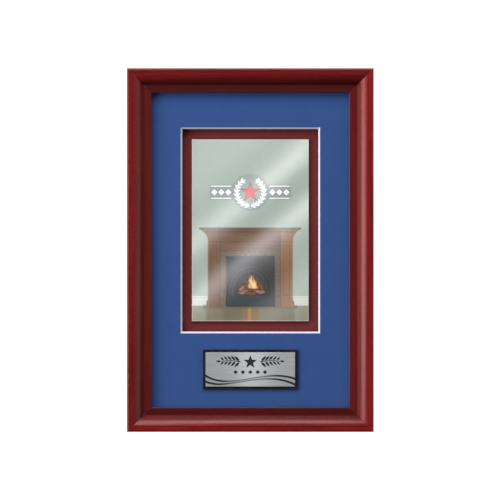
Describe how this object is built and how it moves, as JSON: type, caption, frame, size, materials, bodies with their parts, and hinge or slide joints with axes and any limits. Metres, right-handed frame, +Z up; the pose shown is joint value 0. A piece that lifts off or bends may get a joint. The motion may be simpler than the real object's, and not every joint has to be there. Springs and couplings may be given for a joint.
{
  "type": "framed award plaque",
  "caption": "Wall-hung wooden award plaque: a mitred frame around a bevelled mat, a recessed gloss print panel and a two-layer metal nameplate, on a sawtooth hanger.",
  "frame": {"origin": "where a wall hook bears in the sawtooth hanger's middle notch, in the plane of the wall", "axes": "+Z up the plaque, +Y from its front to the wall, +X to the right of a viewer who faces the front"},
  "size_m": [0.2414, 0.0255, 0.3556],
  "materials": {
    "mahogany_lacquer": "gloss",
    "blue_mat": "matte",
    "maroon_mat": "matte",
    "foam_board": "matte",
    "hardboard": "matte",
    "gloss_print": "gloss",
    "foam_tape": "matte",
    "black_plate": "gloss",
    "brushed_silver": "satin",
    "zinc_plate": "satin",
    "brass_plate": "satin",
    "bumper_rubber": "matte",
    "v_nail_steel": "satin"
  },
  "bodies": {
    "plaque": {"frame_rail_top": "mahogany_lacquer", "frame_rail_bottom": "mahogany_lacquer", "frame_rail_left": "mahogany_lacquer", "frame_rail_right": "mahogany_lacquer", "v_nail_top_left_1": "v_nail_steel", "v_nail_top_left_2": "v_nail_steel", "v_nail_top_right_1": "v_nail_steel", "v_nail_top_right_2": "v_nail_steel", "v_nail_bottom_left_1": "v_nail_steel", "v_nail_bottom_left_2": "v_nail_steel", "v_nail_bottom_right_1": "v_nail_steel", "v_nail_bottom_right_2": "v_nail_steel", "blue_window_mat": "blue_mat", "spacer_top": "foam_board", "spacer_bottom": "foam_board", "spacer_left": "foam_board", "spacer_right": "foam_board", "maroon_board": "maroon_mat", "panel_tape_left": "foam_tape", "panel_tape_right": "foam_tape", "print_panel": "gloss_print", "nameplate_tape": "foam_tape", "nameplate_backplate": "black_plate", "nameplate_face": "brushed_silver", "hardboard_back": "hardboard", "turn_button_screw_left_lower": "zinc_plate", "turn_button_screw_left_middle": "zinc_plate", "turn_button_screw_left_upper": "zinc_plate", "turn_button_screw_right_lower": "zinc_plate", "turn_button_screw_right_middle": "zinc_plate", "turn_button_screw_right_upper": "zinc_plate", "sawtooth_hanger": "brass_plate", "hanger_nail_left": "brass_plate", "hanger_nail_right": "brass_plate", "wall_bumper_left": "bumper_rubber", "wall_bumper_right": "bumper_rubber"},
    "button_left_lower": {"turn_button_left_lower": "zinc_plate"},
    "button_left_middle": {"turn_button_left_middle": "zinc_plate"},
    "button_left_upper": {"turn_button_left_upper": "zinc_plate"},
    "button_right_lower": {"turn_button_right_lower": "zinc_plate"},
    "button_right_middle": {"turn_button_right_middle": "zinc_plate"},
    "button_right_upper": {"turn_button_right_upper": "zinc_plate"}
  },
  "joints": [
    {"name": "turn_left_lower", "type": "hinge", "parent": "plaque", "child": "button_left_lower", "pos_m": [-0.11165, -0.0027, -0.2798], "axis": [0, 1, 0], "continuous": true},
    {"name": "turn_left_middle", "type": "hinge", "parent": "plaque", "child": "button_left_middle", "pos_m": [-0.11165, -0.0027, -0.1648], "axis": [0, 1, 0], "continuous": true},
    {"name": "turn_left_upper", "type": "hinge", "parent": "plaque", "child": "button_left_upper", "pos_m": [-0.11165, -0.0027, -0.0498], "axis": [0, 1, 0], "continuous": true},
    {"name": "turn_right_lower", "type": "hinge", "parent": "plaque", "child": "button_right_lower", "pos_m": [0.11165, -0.0027, -0.2798], "axis": [0, 1, 0], "continuous": true},
    {"name": "turn_right_middle", "type": "hinge", "parent": "plaque", "child": "button_right_middle", "pos_m": [0.11165, -0.0027, -0.1648], "axis": [0, 1, 0], "continuous": true},
    {"name": "turn_right_upper", "type": "hinge", "parent": "plaque", "child": "button_right_upper", "pos_m": [0.11165, -0.0027, -0.0498], "axis": [0, 1, 0], "continuous": true}
  ]
}
